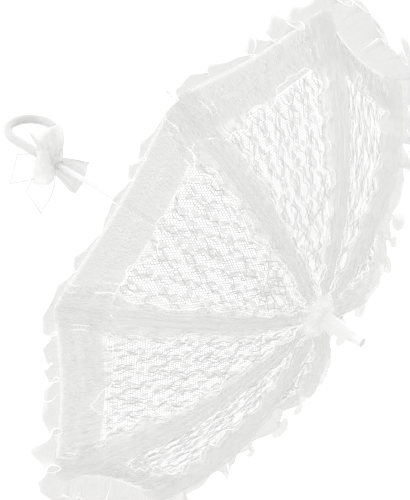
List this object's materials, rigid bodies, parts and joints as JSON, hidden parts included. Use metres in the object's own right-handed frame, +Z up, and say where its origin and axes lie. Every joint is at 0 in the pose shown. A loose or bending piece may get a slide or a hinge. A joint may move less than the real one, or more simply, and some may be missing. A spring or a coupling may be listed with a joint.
{
  "type": "lace parasol",
  "caption": "Open lace parasol: domed canopy of lace gores with gathered ruffles on folding ribs, a runner on a straight shaft and a crook handle.",
  "frame": {"origin": "middle of the handle's straight grip, on the shaft axis", "axes": "+Z up the shaft from the handle to the ferrule, +X from the shaft towards the free end of the crook"},
  "size_m": [0.7866, 0.7866, 0.679],
  "materials": {
    "lace": "white warp-knitted lace",
    "organza": "crisp sheer white organza",
    "satin": "white satin ribbon and binding",
    "handle_plastic": "moulded glossy white plastic",
    "ferrule_plastic": "moulded white plastic",
    "painted_tube": "white enamelled steel",
    "painted_rib": "white enamelled steel wire",
    "runner_plastic": "moulded white plastic",
    "binding_wire": "drawn steel wire",
    "spring_steel": "bright spring steel"
  },
  "bodies": {
    "stick": {"shaft": "painted_tube", "handle": "handle_plastic", "ferrule": "ferrule_plastic", "ferrule_tip": "ferrule_plastic", "crown": "runner_plastic", "crown_wire": "binding_wire", "rosette": "organza", "bow": "organza"},
    "runner": {"runner": "runner_plastic", "runner_wire": "binding_wire"},
    "top_catch": {"top_catch": "spring_steel"},
    "bottom_catch": {"bottom_catch": "spring_steel"},
    "rib_1": {"rib_1": "painted_rib", "rib_tip_1": "ferrule_plastic", "gore_1": "lace", "seam_ruffle_1": "organza", "rim_frill_1": "organza"},
    "stretcher_1": {"stretcher_1": "painted_rib"},
    "rib_2": {"rib_2": "painted_rib", "rib_tip_2": "ferrule_plastic", "gore_2": "lace", "seam_ruffle_2": "organza", "rim_frill_2": "organza"},
    "stretcher_2": {"stretcher_2": "painted_rib"},
    "rib_3": {"rib_3": "painted_rib", "rib_tip_3": "ferrule_plastic", "gore_3": "lace", "seam_ruffle_3": "organza", "rim_frill_3": "organza"},
    "stretcher_3": {"stretcher_3": "painted_rib"},
    "rib_4": {"rib_4": "painted_rib", "rib_tip_4": "ferrule_plastic", "gore_4": "lace", "seam_ruffle_4": "organza", "rim_frill_4": "organza"},
    "stretcher_4": {"stretcher_4": "painted_rib"},
    "rib_5": {"rib_5": "painted_rib", "rib_tip_5": "ferrule_plastic", "gore_5": "lace", "seam_ruffle_5": "organza", "rim_frill_5": "organza"},
    "stretcher_5": {"stretcher_5": "painted_rib"},
    "rib_6": {"rib_6": "painted_rib", "rib_tip_6": "ferrule_plastic", "gore_6": "lace", "seam_ruffle_6": "organza", "rim_frill_6": "organza"},
    "stretcher_6": {"stretcher_6": "painted_rib"},
    "rib_7": {"rib_7": "painted_rib", "rib_tip_7": "ferrule_plastic", "gore_7": "lace", "seam_ruffle_7": "organza", "rim_frill_7": "organza"},
    "stretcher_7": {"stretcher_7": "painted_rib"},
    "rib_8": {"rib_8": "painted_rib", "rib_tip_8": "ferrule_plastic", "gore_8": "lace", "seam_ruffle_8": "organza", "rim_frill_8": "organza"},
    "stretcher_8": {"stretcher_8": "painted_rib"}
  },
  "joints": [
    {"name": "runner_slide", "type": "slide", "parent": "stick", "child": "runner", "axis": [0, 0, -1], "range_m": [0, 0.25404]},
    {"name": "rib_1_hinge", "type": "hinge", "parent": "stick", "child": "rib_1", "pos_m": [0.00798, 0.00416, 0.509], "axis": [-0.4617, 0.887, 0], "range_deg": [0, 67.71], "deforming": ["gore_1", "seam_ruffle_1", "rim_frill_1"]},
    {"name": "stretcher_1_hinge", "type": "hinge", "parent": "rib_1", "child": "stretcher_1", "pos_m": [0.15297, 0.07963, 0.47777], "axis": [0.4617, -0.887, 0], "range_deg": [0, 131.43]},
    {"name": "rib_2_hinge", "type": "hinge", "parent": "stick", "child": "rib_2", "pos_m": [0.00271, 0.00858, 0.509], "axis": [-0.9537, 0.3007, 0], "range_deg": [0, 67.71], "deforming": ["gore_2", "seam_ruffle_2", "rim_frill_2"]},
    {"name": "stretcher_2_hinge", "type": "hinge", "parent": "rib_2", "child": "stretcher_2", "pos_m": [0.05186, 0.16448, 0.47777], "axis": [0.9537, -0.3007, 0], "range_deg": [0, 131.43]},
    {"name": "rib_3_hinge", "type": "hinge", "parent": "stick", "child": "rib_3", "pos_m": [-0.00416, 0.00798, 0.509], "axis": [-0.887, -0.4617, 0], "range_deg": [0, 67.71], "deforming": ["gore_3", "seam_ruffle_3", "rim_frill_3"]},
    {"name": "stretcher_3_hinge", "type": "hinge", "parent": "rib_3", "child": "stretcher_3", "pos_m": [-0.07963, 0.15297, 0.47777], "axis": [0.887, 0.4617, 0], "range_deg": [0, 131.43]},
    {"name": "rib_4_hinge", "type": "hinge", "parent": "stick", "child": "rib_4", "pos_m": [-0.00858, 0.00271, 0.509], "axis": [-0.3007, -0.9537, 0], "range_deg": [0, 67.71], "deforming": ["gore_4", "seam_ruffle_4", "rim_frill_4"]},
    {"name": "stretcher_4_hinge", "type": "hinge", "parent": "rib_4", "child": "stretcher_4", "pos_m": [-0.16448, 0.05186, 0.47777], "axis": [0.3007, 0.9537, 0], "range_deg": [0, 131.43]},
    {"name": "rib_5_hinge", "type": "hinge", "parent": "stick", "child": "rib_5", "pos_m": [-0.00798, -0.00416, 0.509], "axis": [0.4617, -0.887, 0], "range_deg": [0, 67.71], "deforming": ["gore_5", "seam_ruffle_5", "rim_frill_5"]},
    {"name": "stretcher_5_hinge", "type": "hinge", "parent": "rib_5", "child": "stretcher_5", "pos_m": [-0.15297, -0.07963, 0.47777], "axis": [-0.4617, 0.887, 0], "range_deg": [0, 131.43]},
    {"name": "rib_6_hinge", "type": "hinge", "parent": "stick", "child": "rib_6", "pos_m": [-0.00271, -0.00858, 0.509], "axis": [0.9537, -0.3007, 0], "range_deg": [0, 67.71], "deforming": ["gore_6", "seam_ruffle_6", "rim_frill_6"]},
    {"name": "stretcher_6_hinge", "type": "hinge", "parent": "rib_6", "child": "stretcher_6", "pos_m": [-0.05186, -0.16448, 0.47777], "axis": [-0.9537, 0.3007, 0], "range_deg": [0, 131.43]},
    {"name": "rib_7_hinge", "type": "hinge", "parent": "stick", "child": "rib_7", "pos_m": [0.00416, -0.00798, 0.509], "axis": [0.887, 0.4617, 0], "range_deg": [0, 67.71], "deforming": ["gore_7", "seam_ruffle_7", "rim_frill_7"]},
    {"name": "stretcher_7_hinge", "type": "hinge", "parent": "rib_7", "child": "stretcher_7", "pos_m": [0.07963, -0.15297, 0.47777], "axis": [-0.887, -0.4617, 0], "range_deg": [0, 131.43]},
    {"name": "rib_8_hinge", "type": "hinge", "parent": "stick", "child": "rib_8", "pos_m": [0.00858, -0.00271, 0.509], "axis": [0.3007, 0.9537, 0], "range_deg": [0, 67.71], "deforming": ["gore_8", "seam_ruffle_8", "rim_frill_8"]},
    {"name": "stretcher_8_hinge", "type": "hinge", "parent": "rib_8", "child": "stretcher_8", "pos_m": [0.16448, -0.05186, 0.47777], "axis": [-0.3007, -0.9537, 0], "range_deg": [0, 131.43]},
    {"name": "top_catch_press", "type": "slide", "parent": "stick", "child": "top_catch", "axis": [-0.9962, -0.0872, 0], "range_m": [0, 0.0022], "stiffness_N_per_m": 400},
    {"name": "bottom_catch_press", "type": "slide", "parent": "stick", "child": "bottom_catch", "axis": [-0.9962, -0.0872, 0], "range_m": [0, 0.0022], "stiffness_N_per_m": 400}
  ],
  "couplings": [
    {"joint": "rib_1_hinge", "follows": "runner_slide", "rad_per_m": 4.6517},
    {"joint": "stretcher_1_hinge", "follows": "runner_slide", "rad_per_m": 9.0298},
    {"joint": "rib_2_hinge", "follows": "runner_slide", "rad_per_m": 4.6517},
    {"joint": "stretcher_2_hinge", "follows": "runner_slide", "rad_per_m": 9.0298},
    {"joint": "rib_3_hinge", "follows": "runner_slide", "rad_per_m": 4.6517},
    {"joint": "stretcher_3_hinge", "follows": "runner_slide", "rad_per_m": 9.0298},
    {"joint": "rib_4_hinge", "follows": "runner_slide", "rad_per_m": 4.6517},
    {"joint": "stretcher_4_hinge", "follows": "runner_slide", "rad_per_m": 9.0298},
    {"joint": "rib_5_hinge", "follows": "runner_slide", "rad_per_m": 4.6517},
    {"joint": "stretcher_5_hinge", "follows": "runner_slide", "rad_per_m": 9.0298},
    {"joint": "rib_6_hinge", "follows": "runner_slide", "rad_per_m": 4.6517},
    {"joint": "stretcher_6_hinge", "follows": "runner_slide", "rad_per_m": 9.0298},
    {"joint": "rib_7_hinge", "follows": "runner_slide", "rad_per_m": 4.6517},
    {"joint": "stretcher_7_hinge", "follows": "runner_slide", "rad_per_m": 9.0298},
    {"joint": "rib_8_hinge", "follows": "runner_slide", "rad_per_m": 4.6517},
    {"joint": "stretcher_8_hinge", "follows": "runner_slide", "rad_per_m": 9.0298}
  ]
}
